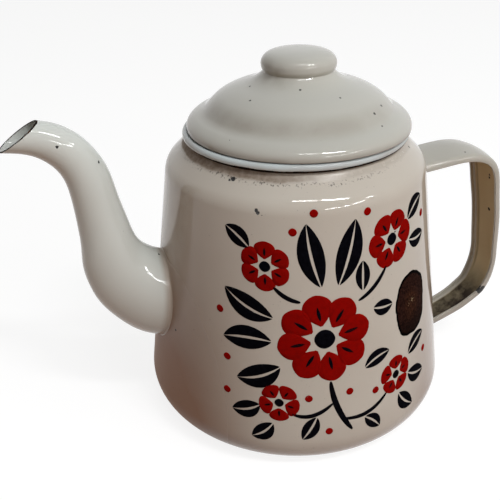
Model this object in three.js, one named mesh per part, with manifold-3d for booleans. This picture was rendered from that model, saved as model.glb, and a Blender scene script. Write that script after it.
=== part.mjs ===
import * as THREE from 'three';
import { mergeVertices } from 'three/addons/utils/BufferGeometryUtils.js';
import Module from 'manifold-3d';

const wasm = await Module();
wasm.setup();

// An enamelled steel teapot of drawn and pressed sheet, with a lift-off lid. Millimetres, +Z up,
// origin at the middle of the flat bottom, spout along -X, handle along +X.

// Sheet and fits
const wall = 1.2;
const fitGap = 0.3;
const overrun = 3;
const around = 44;

// Body of the pot
const baseRadius = 68;
const cornerRadius = 14.3;
const sideTaper = THREE.MathUtils.degToRad(7.47);
const sideHeight = 112.3;
const shoulderRadius = 7.5;
const shoulderSlope = THREE.MathUtils.degToRad(45);
const neckFilletRadius = 5;

// Curled bead round the mouth
const beadRadius = 2.1;
const shoulderWidth = 24.6;
const mouthRadius = baseRadius - shoulderWidth;
const curlEndAngle = THREE.MathUtils.degToRad(-70);

// Lapped seam between the shell and the bottom pan
const seamAngle = THREE.MathUtils.degToRad(-26);
const seamGap = 0.5;
const joggleRun = 2;

// Spout
const spoutHeight = 58.6;
const spoutReach = 55;
const spoutTipAboveRim = 6.4;
const spoutRootHalfHeight = 21;
const spoutRootHalfWidth = 16.5;
const spoutTipRadius = 6.2;
const mouthTilt = THREE.MathUtils.degToRad(33.5);
const spoutSides = 24;
const spoutSteps = 26;
const spoutInnerSteps = 18;

// Route of the spout from its root to past its mouth: share of the reach out from the wall,
// share of the rise, share of the swelling from mouth to root
const spoutRouteShares = [
  [-0.24, -0.014, 1.0],
  [-0.1, -0.006, 0.986],
  [0.02, 0.008, 0.953],
  [0.116, 0.05, 0.851],
  [0.225, 0.124, 0.757],
  [0.285, 0.187, 0.642],
  [0.338, 0.27, 0.507],
  [0.364, 0.376, 0.338],
  [0.39, 0.502, 0.264],
  [0.413, 0.604, 0.209],
  [0.444, 0.742, 0.176],
  [0.487, 0.822, 0.145],
  [0.558, 0.898, 0.122],
  [0.652, 0.953, 0.101],
  [0.752, 0.988, 0.047],
  [0.868, 1.005, 0.007],
  [1.013, 1.017, -0.007],
  [1.14, 1.03, -0.014],
];

// Middle of the slanted mouth: share of the reach, share of the rise
const spoutMouthShares = [0.865, 1.014];

// Strainer of holes drilled through the shell behind the spout
const strainerHoleRadius = 2.5;
const strainerPitch = 8.4;
const strainerMargin = 2.4;
const strainerHoleSides = 8;

// Handle
const handleReach = 40;
const handleFootHeight = 14;
const handleDrop = 2.7;
const handleTopWidth = 24.5;
const handleFootWidth = 15;
const handleDepth = 4;
const handleEdgeRadius = 2;
const handleCrown = 0.8;
const handleSteps = 32;

// Route of the crown of the handle from its top root to its foot: share of the reach out from
// the wall, share of the height
const handleRouteShares = [
  [-0.08, 0.972],
  [0.21, 0.986],
  [0.47, 0.998],
  [0.677, 0.993],
  [0.845, 0.966],
  [0.95, 0.915],
  [0.99, 0.848],
  [0.998, 0.757],
  [1.012, 0.662],
  [1.01, 0.57],
  [1.0, 0.476],
  [0.99, 0.377],
  [0.945, 0.285],
  [0.883, 0.224],
  [0.81, 0.178],
  [0.68, 0.137],
  [0.535, 0.097],
  [0.348, 0.062],
  [0.15, 0.029],
  [-0.055, -0.006],
  [-0.21, -0.031],
];

// Lid
const lidOverlap = 3.2;
const lidRadius = mouthRadius + lidOverlap;
const domeHeight = 17.7;
const ventRadius = 4.5;
const lidPlay = 1.5;
const collarSlack = 0.4;
const collarDepth = 14;
const collarFlange = 4.4;
const collarBend = 1.8;

// Outline of the lid from its middle to its lower edge: share of the radius, share of the height
const domeShares = [
  [0.2, 1.0],
  [0.28, 0.998],
  [0.36, 0.986],
  [0.44, 0.952],
  [0.52, 0.898],
  [0.6, 0.826],
  [0.67, 0.742],
  [0.73, 0.644],
  [0.776, 0.53],
  [0.808, 0.408],
  [0.836, 0.335],
  [0.876, 0.292],
  [0.926, 0.236],
  [0.966, 0.162],
  [0.99, 0.084],
  [1.0, 0.0],
];

// Knob
const knobRadius = 15.4;
const knobFootRadius = 12.9;
const knobHeight = 11.9;

// Outline of the knob from its foot to its top: share of the swell from the foot radius to the
// full radius, then share of the full radius, each with its share of the height
const knobSideShares = [[0.0, 0.0], [0.5, 0.12], [0.9, 0.3], [1.0, 0.5]];
const knobTopShares = [[0.985, 0.66], [0.92, 0.79], [0.79, 0.9], [0.56, 0.97], [0.28, 1.0]];


const across = new THREE.Vector3(0, 1, 0);

// Points along an arc in the plane of a section
function arc(cx, cy, radius, from, to, steps) {
  const points = [];
  for (let i = 0; i <= steps; i++) {
    const angle = from + (to - from) * i / steps;
    points.push(new THREE.Vector2(cx + radius * Math.cos(angle), cy + radius * Math.sin(angle)));
  }
  return points;
}

// The same line moved sideways, to its left when the distance is positive
function besideLine(points, distance) {
  return points.map((point, i) => {
    const before = points[Math.max(i - 1, 0)];
    const after = points[Math.min(i + 1, points.length - 1)];
    const a = point.clone().sub(i ? before : point).normalize();
    const b = after.clone().sub(point).normalize();
    const along = a.add(b).normalize();
    const turn = Math.max(Math.abs(i && i < points.length - 1 ? along.dot(b) : 1), 0.5);
    return new THREE.Vector2(point.x - along.y * distance / turn, point.y + along.x * distance / turn);
  });
}

// Closed section of a sheet whose outer face follows the line and whose metal lies to its left
function sheetSection(points, thickness = wall) {
  return [...points, ...besideLine(points, thickness).reverse()];
}

// A closed solid of any mesh, joined at its shared points
function solid(geometry) {
  const plain = geometry.clone();
  plain.deleteAttribute('normal');
  plain.deleteAttribute('uv');
  const merged = mergeVertices(plain, wall / 1e4);
  return new wasm.Manifold(new wasm.Mesh({
    numProp: 3,
    vertProperties: new Float32Array(merged.attributes.position.array),
    triVerts: new Uint32Array(merged.index.array),
  }));
}

// The faces of a solid as a geometry
function geometryOf(shape) {
  const mesh = shape.getMesh();
  const geometry = new THREE.BufferGeometry();
  geometry.setAttribute('position', new THREE.BufferAttribute(new Float32Array(mesh.vertProperties), 3));
  geometry.setIndex(new THREE.BufferAttribute(new Uint32Array(mesh.triVerts), 1));
  return geometry;
}

// A section turned round the upright axis
function turned(section) {
  const points = THREE.ShapeUtils.area(section) > 0 ? [...section] : [...section].reverse();
  const first = points.findIndex((p) => p.x === 0 && points[(points.indexOf(p) + 1) % points.length].x > 0);
  const open = first >= 0;
  const ordered = open ? [...points.slice(first), ...points.slice(0, first)] : [...points, points[0]];
  return new THREE.LatheGeometry(ordered, around).rotateX(Math.PI / 2);
}

// Radius of the straight side of the pot at a height
function sideRadiusAt(height) {
  const start = sideStart();
  return start.x - (height - start.y) * Math.tan(sideTaper);
}

// Where the rounded bottom corner runs into the side
function sideStart() {
  return new THREE.Vector2(
    baseRadius - cornerRadius + cornerRadius * Math.cos(sideTaper),
    cornerRadius + cornerRadius * Math.sin(sideTaper),
  );
}

// Height of the middle of the mouth bead
function beadHeight() {
  const shoulder = shoulderEnd();
  const drop = neckFilletRadius * Math.tan(shoulderSlope / 2);
  return shoulder.y + (shoulder.x - mouthRadius - wall) * Math.tan(shoulderSlope) + drop;
}

// Middle of the shoulder's arc and the point where it turns into the slope up to the neck
function shoulderMiddle() {
  const top = new THREE.Vector2(sideRadiusAt(sideHeight), sideHeight);
  return top.sub(new THREE.Vector2(Math.cos(sideTaper), Math.sin(sideTaper)).multiplyScalar(shoulderRadius));
}

function shoulderEnd() {
  const up = Math.PI / 2 - shoulderSlope;
  return shoulderMiddle().add(new THREE.Vector2(Math.cos(up), Math.sin(up)).multiplyScalar(shoulderRadius));
}

// Outer face of the shell from its lower edge up to the end of the curled bead
function shellLine() {
  const bead = beadHeight();
  const middle = shoulderMiddle();
  const neck = mouthRadius + wall;
  return [
    ...arc(baseRadius - cornerRadius, cornerRadius, cornerRadius, seamAngle, sideTaper, 4),
    new THREE.Vector2(sideRadiusAt(sideHeight / 2), sideHeight / 2),
    ...arc(middle.x, middle.y, shoulderRadius, sideTaper, Math.PI / 2 - shoulderSlope, 4),
    ...arc(neck + neckFilletRadius, bead, neckFilletRadius, Math.PI + shoulderSlope, Math.PI, 3),
  ];
}

// Closed section of the shell with its bead
function shellSection() {
  const bead = beadHeight();
  const curlMiddle = mouthRadius + beadRadius;
  const outer = shellLine();
  const inner = besideLine(outer, wall).reverse();
  const curlInside = arc(curlMiddle, bead, beadRadius - wall, Math.PI, curlEndAngle, 6);
  const curlOutside = arc(curlMiddle, bead, beadRadius, curlEndAngle, Math.PI, 8);
  return [...outer, ...curlInside.slice(1), ...curlOutside.slice(0, -1), ...inner];
}

// Solid space that the pot takes up, grown by a gap, used to cut what is welded to it
function potSpace(gap) {
  const corner = arc(baseRadius - cornerRadius, cornerRadius, cornerRadius, -Math.PI / 2, seamAngle, 4);
  const line = besideLine([...corner.slice(0, -1), ...shellLine()], -gap);
  const top = line[line.length - 1].y + overrun;
  const bottom = -gap;
  line[0].y = bottom;
  return [new THREE.Vector2(0, bottom), ...line, new THREE.Vector2(line[line.length - 1].x, top), new THREE.Vector2(0, top)];
}

// Drawn shell with its curled mouth and the strainer behind the spout
function bodyShell() {
  let shell = solid(turned(shellSection()));
  for (const hole of strainerHoles()) shell = shell.subtract(hole);
  return geometryOf(shell);
}

// Drills on a staggered grid inside the root of the spout
function strainerHoles() {
  const halfHeight = spoutRootHalfHeight - wall - strainerMargin - strainerHoleRadius;
  const halfWidth = spoutRootHalfWidth - wall - strainerMargin - strainerHoleRadius;
  const rowPitch = strainerPitch * Math.cos(Math.PI / 6);
  const rows = Math.floor(halfHeight / rowPitch);
  const columns = Math.ceil(halfWidth / strainerPitch);
  const depth = sideRadiusAt(spoutHeight) - halfWidth;
  const drill = new THREE.CylinderGeometry(strainerHoleRadius, strainerHoleRadius, depth, strainerHoleSides);
  drill.rotateZ(Math.PI / 2).translate(-sideRadiusAt(spoutHeight) + wall - overrun / 2 - depth / 2 + halfWidth, 0, spoutHeight);
  const holes = [];
  for (let row = -rows; row <= rows; row++) {
    for (let column = -columns; column <= columns; column++) {
      const y = (column + (row % 2 ? 0.5 : 0)) * strainerPitch;
      const z = row * rowPitch;
      if (Math.hypot(y / halfWidth, z / halfHeight) > 1) continue;
      holes.push(solid(drill.clone().translate(0, y, z)));
    }
  }
  return holes;
}

// Bottom pan, its rim stepped in to lap inside the shell
function basePan() {
  const middle = baseRadius - cornerRadius;
  const inset = cornerRadius - wall - fitGap;
  const lapStart = seamAngle - seamGap / cornerRadius;
  const joggleStart = lapStart - joggleRun / cornerRadius;
  const line = [
    new THREE.Vector2(0, 0),
    ...arc(middle, cornerRadius, cornerRadius, -Math.PI / 2, joggleStart, 4),
    ...arc(middle, cornerRadius, inset, lapStart, sideTaper, 3),
  ];
  const section = sheetSection(line);
  section[section.length - 1] = new THREE.Vector2(0, wall);
  return turned(section);
}

// A place on the spout's plane from its shares of the reach and the rise
function spoutPlace(out, up) {
  const rise = beadHeight() + beadRadius + spoutTipAboveRim - spoutHeight;
  return new THREE.Vector3(-sideRadiusAt(spoutHeight) - out * spoutReach, 0, spoutHeight + up * rise);
}

// Route of the spout's midline and its swelling along it
function spoutRoute() {
  const points = spoutRouteShares.map(([out, up]) => spoutPlace(out, up));
  const swelling = spoutRouteShares.map(([, , swell], i) => new THREE.Vector2(i, swell));
  return {
    line: new THREE.CatmullRomCurve3(points, false, 'catmullrom', 0.5),
    swell: new THREE.SplineCurve(swelling),
  };
}

// A solid round bar bent along the spout's route, smaller than its outside by an inset
function spoutCore(inset, sides, steps) {
  const { line, swell } = spoutRoute();
  const bar = new THREE.CylinderGeometry(1, 1, 1, sides, steps);
  const place = bar.attributes.position;
  for (let i = 0; i < place.count; i++) {
    const t = place.getY(i) + 0.5;
    const share = swell.getPoint(t).y;
    const halfWidth = THREE.MathUtils.lerp(spoutTipRadius, spoutRootHalfWidth, share) - inset;
    const halfHeight = THREE.MathUtils.lerp(spoutTipRadius, spoutRootHalfHeight, share) - inset;
    const along = line.getTangent(t);
    const upright = across.clone().cross(along);
    const point = line.getPoint(t)
      .addScaledVector(across, place.getX(i) * halfWidth)
      .addScaledVector(upright, place.getZ(i) * halfHeight);
    place.setXYZ(i, point.x, point.y, point.z);
  }
  return solid(bar);
}

// Block that holds all that lies past the slanted mouth of the spout
function pastSpoutMouth() {
  const size = spoutReach + baseRadius;
  const [out, up] = spoutMouthShares;
  const middle = spoutPlace(out, up);
  const block = new THREE.BoxGeometry(size, size, size).translate(0, 0, size / 2);
  block.rotateY(-mouthTilt);
  return solid(block.translate(middle.x, 0, middle.z));
}

// The hollow spout, cut to the pot's side and at its mouth
function wholeSpout() {
  return spoutCore(0, spoutSides, spoutSteps)
    .subtract(spoutCore(wall, spoutSides, spoutInnerSteps))
    .subtract(solid(turned(potSpace(fitGap))))
    .subtract(pastSpoutMouth());
}

// One pressed half of the spout, on the side of the seam that the sign gives
function spoutHalf(side) {
  const size = spoutReach + baseRadius + sideHeight;
  const keep = new THREE.BoxGeometry(size, size, size).translate(0, side * (size + fitGap) / 2, 0);
  keep.translate(-size / 2, 0, sideHeight);
  return geometryOf(wholeSpout().intersect(solid(keep)));
}

// Route of the handle's crown from the top root to the foot
function handleRoute() {
  const span = sideHeight - handleDrop - handleFootHeight;
  return new THREE.CatmullRomCurve3(handleRouteShares.map(([out, up]) => {
    const height = handleFootHeight + up * span;
    return new THREE.Vector3(sideRadiusAt(height) + out * handleReach, 0, height);
  }), false, 'catmullrom', 0.5);
}

// Channel section of the handle, its crown towards +Y and its open side towards -Y
function handleSection() {
  const half = handleTopWidth / 2;
  const edge = handleEdgeRadius;
  const line = [
    new THREE.Vector2(half, -handleDepth),
    ...arc(half - edge, -handleCrown - edge, edge, 0, Math.PI / 2, 2),
    new THREE.Vector2(half / 2, -handleCrown / 4),
    new THREE.Vector2(0, 0),
    new THREE.Vector2(-half / 2, -handleCrown / 4),
    ...arc(edge - half, -handleCrown - edge, edge, Math.PI / 2, Math.PI, 2),
    new THREE.Vector2(-half, -handleDepth),
  ];
  return sheetSection(line);
}

// Handle pressed from one strip, bent along its route and narrower towards the foot
function handleStrap() {
  const route = handleRoute();
  const shape = new THREE.Shape(handleSection());
  const strap = new THREE.ExtrudeGeometry(shape, { depth: 1, steps: handleSteps, bevelEnabled: false });
  const place = strap.attributes.position;
  const full = handleTopWidth / 2;
  const middle = full - handleEdgeRadius - wall;
  for (let i = 0; i < place.count; i++) {
    const t = place.getZ(i);
    const half = THREE.MathUtils.lerp(handleTopWidth, handleFootWidth, THREE.MathUtils.smoothstep(t, 0, 1)) / 2;
    const x = place.getX(i);
    const inMiddle = Math.abs(x) < middle;
    const wide = inMiddle ? x * (half - full + middle) / middle : Math.sign(x) * (half - full + Math.abs(x));
    const along = route.getTangent(t);
    const outward = along.clone().cross(across);
    const point = route.getPoint(t).addScaledVector(across, wide).addScaledVector(outward, place.getY(i));
    place.setXYZ(i, point.x, point.y, point.z);
  }
  return geometryOf(solid(strap).subtract(solid(turned(potSpace(fitGap)))));
}

// Outer face of the lid from the vent in its middle down to its lower edge, above the seat
function domeLine() {
  const points = domeShares.map(([out, up]) => new THREE.Vector2(out * lidRadius, up * domeHeight));
  const curve = new THREE.SplineCurve(points);
  return [new THREE.Vector2(ventRadius, domeHeight), ...curve.getPoints(points.length - 3)];
}

// Height of the lid's under face at a radius
function underDomeAt(radius) {
  const under = besideLine(domeLine(), -wall);
  const i = under.findIndex((point) => point.x > radius);
  const share = (radius - under[i - 1].x) / (under[i].x - under[i - 1].x);
  return THREE.MathUtils.lerp(under[i - 1].y, under[i].y, share);
}

// Drawn lid with the vent under its knob, its lower edge flat on the seat
function lidDome() {
  const outer = domeLine();
  const inner = besideLine(outer, -wall);
  inner[inner.length - 1].y = 0;
  return turned([...outer, ...inner.reverse()]);
}

// Collar that drops into the mouth, with a flange turned in under the lid
function lidCollar() {
  const outer = mouthRadius - lidPlay - collarSlack;
  const top = underDomeAt(outer) - fitGap;
  const line = [
    new THREE.Vector2(outer - collarBend / 2, top - collarBend - collarDepth),
    new THREE.Vector2(outer, top - collarDepth),
    ...arc(outer - collarBend, top - collarBend, collarBend, 0, Math.PI / 2, 3),
    new THREE.Vector2(outer - collarBend - collarFlange, top),
  ];
  return turned(sheetSection(line));
}

// Hollow knob, open underneath
function knob() {
  const foot = domeHeight + fitGap;
  const side = knobSideShares.map(([out, up]) => new THREE.Vector2(
    THREE.MathUtils.lerp(knobFootRadius, knobRadius, out), foot + up * knobHeight));
  const top = knobTopShares.map(([out, up]) => new THREE.Vector2(out * knobRadius, foot + up * knobHeight));
  const line = [...side, ...top, new THREE.Vector2(0, foot + knobHeight)];
  const section = sheetSection(line);
  section[line.length] = new THREE.Vector2(0, foot + knobHeight - wall);
  return turned(section);
}

// A named piece with an enamel of its own
function piece(name, geometry, color, roughness) {
  const mesh = new THREE.Mesh(geometry, new THREE.MeshStandardMaterial({ color, roughness, metalness: 0 }));
  mesh.name = name;
  return mesh;
}

const pot = new THREE.Group();
pot.add(
  piece('body_shell', bodyShell(), '#cfc8be', 0.22),
  piece('base_pan', basePan(), '#b9aca0', 0.25),
  piece('spout_left_half', spoutHalf(1), '#cbc6bd', 0.2),
  piece('spout_right_half', spoutHalf(-1), '#cbc6bd', 0.2),
  piece('handle_strap', handleStrap(), '#c3bdb0', 0.24),
);

const lid = new THREE.Group();
lid.position.set(lidPlay, 0, beadHeight() + beadRadius + fitGap);
lid.add(
  piece('lid_dome', lidDome(), '#c6c4ba', 0.2),
  piece('lid_collar', lidCollar(), '#d3d3cc', 0.25),
  piece('knob', knob(), '#c6c4ba', 0.2),
);

const teapot = new THREE.Group();
teapot.add(pot, lid);

export default teapot;
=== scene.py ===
"""An old enamelled teapot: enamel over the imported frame, worn glaze, painted flowers and a plain studio."""

import math

import bpy
import numpy as np
from mathutils import Matrix


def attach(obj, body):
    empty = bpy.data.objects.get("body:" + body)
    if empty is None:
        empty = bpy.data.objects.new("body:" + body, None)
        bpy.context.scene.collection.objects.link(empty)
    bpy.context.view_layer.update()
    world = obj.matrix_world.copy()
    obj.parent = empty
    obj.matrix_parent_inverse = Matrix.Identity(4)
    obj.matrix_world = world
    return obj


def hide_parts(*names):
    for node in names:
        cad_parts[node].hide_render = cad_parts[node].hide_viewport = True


bl_info = {
    "name": "Enamelled Teapot",
    "version": (1, 0, 0),
    "blender": (4, 5, 0),
    "location": "3D View > Sidebar > Teapot",
    "description": "Builds the enamel surfaces of a teapot over its frame",
    "category": "Object",
}

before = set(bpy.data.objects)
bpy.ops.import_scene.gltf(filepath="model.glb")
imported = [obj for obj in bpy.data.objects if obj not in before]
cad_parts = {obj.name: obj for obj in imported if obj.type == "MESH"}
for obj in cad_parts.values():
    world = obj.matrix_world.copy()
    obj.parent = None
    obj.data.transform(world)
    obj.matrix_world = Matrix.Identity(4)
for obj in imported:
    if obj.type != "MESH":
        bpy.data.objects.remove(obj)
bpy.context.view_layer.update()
MM = 0.001
SHARP = 1e-6
ACROSS = np.array([0.0, 1.0, 0.0])
# Places of the materials on the body, the spout and the lid
CREAM, WHITE, BARE = 0, 1, 2


def linear(code):
    """Turns an sRGB hex colour to linear red, green, blue and alpha."""
    share = np.array([int(code[i:i + 2], 16) for i in (1, 3, 5)]) / 255.0
    flat = np.where(share <= 0.04045, share / 12.92, ((share + 0.055) / 1.055) ** 2.4)
    return (*[float(v) for v in flat], 1.0)


# Settings a user would change

def length(name, description, millimetres):
    """A length that shows in the sidebar in the scene's unit."""
    return bpy.props.FloatProperty(
        name=name, description=description, default=millimetres * MM, unit="LENGTH", precision=5)


def angle(name, description, degrees):
    """An angle that shows in the sidebar in degrees."""
    return bpy.props.FloatProperty(
        name=name, description=description, default=math.radians(degrees), subtype="ANGLE")


def colour(name, description, code):
    """A colour given as sRGB hex."""
    return bpy.props.FloatVectorProperty(
        name=name, description=description, subtype="COLOR", size=4, min=0, max=1, default=linear(code))


class TeapotPotSizes(bpy.types.PropertyGroup):
    """Sizes of the pot's body."""
    base_radius: length("Base radius", "Widest radius of the pot", 68)
    corner_radius: length("Corner radius", "Rounding at the bottom", 14.3)
    side_taper: angle("Side taper", "Lean of the side from upright", 7.47)
    side_height: length("Side height", "Height at which the side turns into the shoulder", 111.458)
    shoulder_radius: length("Shoulder radius", "Rounding of the shoulder", 10)
    shoulder_slope: angle("Shoulder slope", "Slope from the shoulder up to the neck", 45)
    neck_fillet: length("Neck fillet", "Hollow rounding under the bead", 5)
    bead_radius: length("Bead radius", "Radius of the curled mouth bead", 1.6)
    mouth_radius: length("Mouth radius", "Inner radius of the mouth", 43.9)
    wall: length("Wall", "Thickness of the enamelled sheet", 1.2)


class TeapotSpoutSizes(bpy.types.PropertyGroup):
    """Sizes of the spout and of the strainer behind it."""
    height: length("Root height", "Height of the spout's root", 58.6)
    reach: length("Reach", "Reach of the spout from the pot's side", 55)
    above_rim: length("Above rim", "Height of the tip over the mouth bead", 7.4)
    root_half_height: length("Root half height", "Half height of the root", 21)
    root_half_width: length("Root half width", "Half width of the root", 16.5)
    tip_radius: length("Tip radius", "Outer radius at the tip", 6.2)
    mouth_tilt: angle("Mouth tilt", "Slant of the spout's mouth", 33.5)
    root_fillet: length("Root fillet", "Hollow of enamel where the spout meets the pot", 0.6)
    mouth_wall: length("Mouth wall", "Thickness of the sheet where it is ground thin at the mouth", 0.65)
    hole_radius: length("Hole radius", "Radius of a strainer hole", 2.5)
    hole_pitch: length("Hole pitch", "Distance between the middles of strainer holes", 8.4)
    hole_margin: length("Hole margin", "Room between the strainer holes and the spout's wall", 2.4)


class TeapotHandleSizes(bpy.types.PropertyGroup):
    """Sizes of the handle."""
    reach: length("Reach", "Reach of the handle from the pot's side", 40.9)
    foot_height: length("Foot height", "Height of the handle's foot", 12.4)
    drop: length("Drop", "Drop of the handle's top below the shoulder", 1.8)
    top_width: length("Top width", "Width of the strip at the top", 24.5)
    foot_width: length("Foot width", "Width of the strip at the foot", 15)
    depth: length("Depth", "Depth of the channel", 4.2)
    foot_depth: length("Foot depth", "Depth of the channel in its lower run", 5.3)
    deepening: length("Deepening", "Height over the foot at which the channel grows deeper", 38)
    edge_radius: length("Edge radius", "Rounding of the strip's shoulders", 2.6)
    crown: length("Crown", "Rise of the strip's middle", 0.8)


class TeapotLidSizes(bpy.types.PropertyGroup):
    """Sizes of the lid and its knob."""
    radius: length("Lid radius", "Radius of the lid's lower edge", 46.6)
    dome_height: length("Dome height", "Height of the dome over its edge", 18.7)
    vent_radius: length("Vent radius", "Hole under the knob", 4.5)
    play: length("Play", "How far the loose lid lies towards the handle", 1.5)
    slack: length("Slack", "Room that is left at the handle side", 0.9)
    gap: length("Seat gap", "Gap between the lid and the bead", 0.3)
    collar_depth: length("Collar depth", "Depth of the collar below the lid", 14)
    collar_flange: length("Collar flange", "Width of the collar's top flange", 4.4)
    collar_bend: length("Collar bend", "Bend between the collar and its flange", 1.8)
    knob_radius: length("Knob radius", "Widest radius of the knob", 15.4)
    knob_foot: length("Knob foot", "Radius of the knob's foot", 14.5)
    knob_spread: length("Knob spread", "Run of the enamel from the knob's foot out onto the lid", 10.8)
    knob_height: length("Knob height", "Height of the knob", 11.9)


class TeapotColours(bpy.types.PropertyGroup):
    """Colours of the glaze, its wear and the painted flowers."""
    cream: colour("Cream", "Glaze of the pot", "#c9c3b8")
    lid_cream: colour("Lid cream", "Glaze of the lid and knob", "#bab9b1")
    handle_cream: colour("Handle cream", "Glaze of the handle", "#b4b1a7")
    spout_cream: colour("Spout cream", "Cleaner glaze of the spout", "#d3d7d2")
    # The smoke brown also paints shade low on the pot's sides
    smoke_and_shade: colour("Smoke", "Brown of old tea and smoke on the glaze", "#794f2e")
    bead_white: colour("Bead white", "White glaze of the pot's inside and mouth bead", "#c6cfd1")
    white: colour("White", "White glaze inside the spout and lid", "#d4d9d5")
    iron: colour("Iron", "Bare iron where the glaze is chipped", "#0a0706")
    rust: colour("Rust", "Rust in the middle of a chip", "#603a20")
    dirt: colour("Dirt", "Dirt in corners", "#40342b")
    red: colour("Red", "Red of the flowers", "#8e0a05")
    navy: colour("Navy", "Blue-black of the leaves", "#08080d")


# Lines and surfaces

def circle(count):
    """Even angles round a full turn."""
    return np.arange(count) * 2 * np.pi / count


def wavy(a, *waves):
    """Sum of sine waves over an angle, each with its height, its count and its phase."""
    return sum(height * np.sin(count * a + phase) for height, count, phase in waves)


def eased(share):
    """Smooth step: the share squared times three less two shares."""
    return share ** 2 * (3 - 2 * share)


def crowded(count, crowd):
    """Shares from 0 to 1 that crowd towards both ends: the even share less the crowding times the sine of
    its full turn over two pi."""
    share = np.linspace(0, 1, count)
    return share - crowd * np.sin(2 * np.pi * share) / (2 * np.pi)


def arc(x, z, radius, start, stop, count):
    """Circle arc: the middle plus radius times the cosine and sine of even angles."""
    a = np.linspace(start, stop, count)
    return np.stack([x + radius * np.cos(a), z + radius * np.sin(a)], 1)


def linked(lines, counts):
    """Lines joined into one by straight runs between them that have the given counts of points."""
    whole = np.asarray(lines[0], float)
    for line, count in zip(lines[1:], counts):
        share = np.linspace(0, 1, count + 2)[1:-1, None]
        between = whole[-1] + (np.asarray(line[0]) - whole[-1]) * share
        whole = np.vstack([whole, between, line])
    return whole


def along(points):
    """Distance along a line of points: the running sum of its steps."""
    step = np.linalg.norm(np.diff(points, axis=0), axis=1)
    return np.concatenate([[0.0], np.cumsum(step)])


def directions(points):
    """Unit directions along a line of even points."""
    way = np.gradient(points, axis=0)
    return way / np.maximum(np.linalg.norm(way, axis=1)[:, None], SHARP)


def left_of(way):
    """The plane directions turned a quarter to the left."""
    return np.stack([-way[:, 1], way[:, 0]], 1)


def beside(points, distance):
    """The line moved sideways: each point plus distance times its left normal."""
    way = np.gradient(points, along(points), axis=0)
    way /= np.linalg.norm(way, axis=1)[:, None]
    return points + distance * left_of(way)


def blurred(line, spread):
    """Gaussian blur of a line of even points. Both ends are carried on by point reflection, so that they
    stay in place."""
    half = max(int(3 * spread), 1)
    weight = np.exp(-0.5 * (np.arange(-half, half + 1) / spread) ** 2)
    weight /= weight.sum()
    before = 2 * line[0] - line[half:0:-1]
    after = 2 * line[-1] - line[-2:-half - 2:-1]
    padded = np.vstack([before, line, after])
    return np.stack([np.convolve(padded[:, k], weight, "valid") for k in range(line.shape[1])], 1)


def smooth_line(points, count, blur):
    """A spline through the points: Catmull-Rom at even parameters, then a Gaussian blur along it."""
    points = np.asarray(points, float)
    first, last = 2 * points[0] - points[1], 2 * points[-1] - points[-2]
    knots = np.vstack([first, points, last])
    t = np.linspace(0, len(points) - 1, count)
    i = np.minimum(t.astype(int), len(points) - 2)
    u = (t - i)[:, None]
    a, b, c, d = knots[i], knots[i + 1], knots[i + 2], knots[i + 3]
    bends = (2 * a - 5 * b + 4 * c - d) * u ** 2 + (3 * b - a - 3 * c + d) * u ** 3
    return blurred(0.5 * (2 * b + (c - a) * u + bends), blur * count)


def put_mesh(name, points, faces, smooth=True):
    """Makes an object from an array of points and lists of faces."""
    mesh = bpy.data.meshes.new(name)
    mesh.from_pydata(points.reshape(-1, 3).tolist(), [], faces)
    mesh.polygons.foreach_set("use_smooth", np.full(len(mesh.polygons), smooth))
    mesh.update()
    piece = bpy.data.objects.new(name, mesh)
    bpy.context.scene.collection.objects.link(piece)
    return piece


def grid_faces(rows, columns, wrap_rows=False, wrap_columns=False, offset=0):
    """Quads of a grid: each cell joins a point to its right, upper right and upper neighbour."""
    i = np.arange(rows if wrap_rows else rows - 1)[:, None]
    j = np.arange(columns if wrap_columns else columns - 1)[None, :]
    a, b = i * columns + j, i * columns + (j + 1) % columns
    d, c = (i + 1) % rows * columns + j, (i + 1) % rows * columns + (j + 1) % columns
    return (np.stack([a, b, c, d], -1).reshape(-1, 4) + offset).tolist()


def turned(name, profile, columns, middle=(0.0, 0.0)):
    """Surface of revolution: (middle + r cos a, middle + r sin a, z) over the profile and the angle a. Ends
    on the axis become poles, and other profiles close on themselves."""
    a = circle(columns)
    poles = profile[0, 0] < SHARP
    ring = profile[1:-1] if poles else profile
    r, z = ring[:, 0][:, None], ring[:, 1][:, None]
    points = np.stack([middle[0] + r * np.cos(a), middle[1] + r * np.sin(a), z + 0 * a], -1).reshape(-1, 3)
    rows = len(ring)
    faces = grid_faces(rows, columns, wrap_rows=not poles, wrap_columns=True)
    if poles:
        j = np.arange(columns)
        start, end = rows * columns, rows * columns + 1
        points = np.vstack([points, [*middle, profile[0, 1]], [*middle, profile[-1, 1]]])
        faces += np.stack([np.full(columns, start), (j + 1) % columns, j], 1).tolist()
        last = (rows - 1) * columns
        faces += np.stack([np.full(columns, end), last + j, last + (j + 1) % columns], 1).tolist()
    return put_mesh(name, points, faces)


def keep_values(piece, name, values):
    """Stores one value at each point of a piece, for its material to read."""
    layer = piece.data.attributes.new(name, "FLOAT", "POINT")
    layer.data.foreach_set("value", np.ravel(values))


def dress(piece, materials, index=None):
    """Gives a piece its materials, and each face the one its index names."""
    for material in materials:
        piece.data.materials.append(shared_material(material))
    if index is not None:
        piece.data.polygons.foreach_set("material_index", np.asarray(index, np.int32).ravel())


def outward(piece):
    """Turns all faces outwards: where the enclosed volume comes out negative every face is flipped."""
    mesh = piece.data
    mesh.calc_loop_triangles()
    corners = np.empty(len(mesh.loop_triangles) * 3, np.int32)
    mesh.loop_triangles.foreach_get("vertices", corners)
    place = np.empty(len(mesh.vertices) * 3)
    mesh.vertices.foreach_get("co", place)
    a, b, c = place.reshape(-1, 3)[corners.reshape(-1, 3)].transpose(1, 0, 2)
    if (a * np.cross(b, c)).sum() < 0:
        mesh.flip_normals()


def face_vectors(piece, key):
    """Middles or normals of a piece's faces as an array."""
    values = np.empty(len(piece.data.polygons) * 3)
    piece.data.polygons.foreach_get(key, values)
    return values.reshape(-1, 3)


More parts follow.
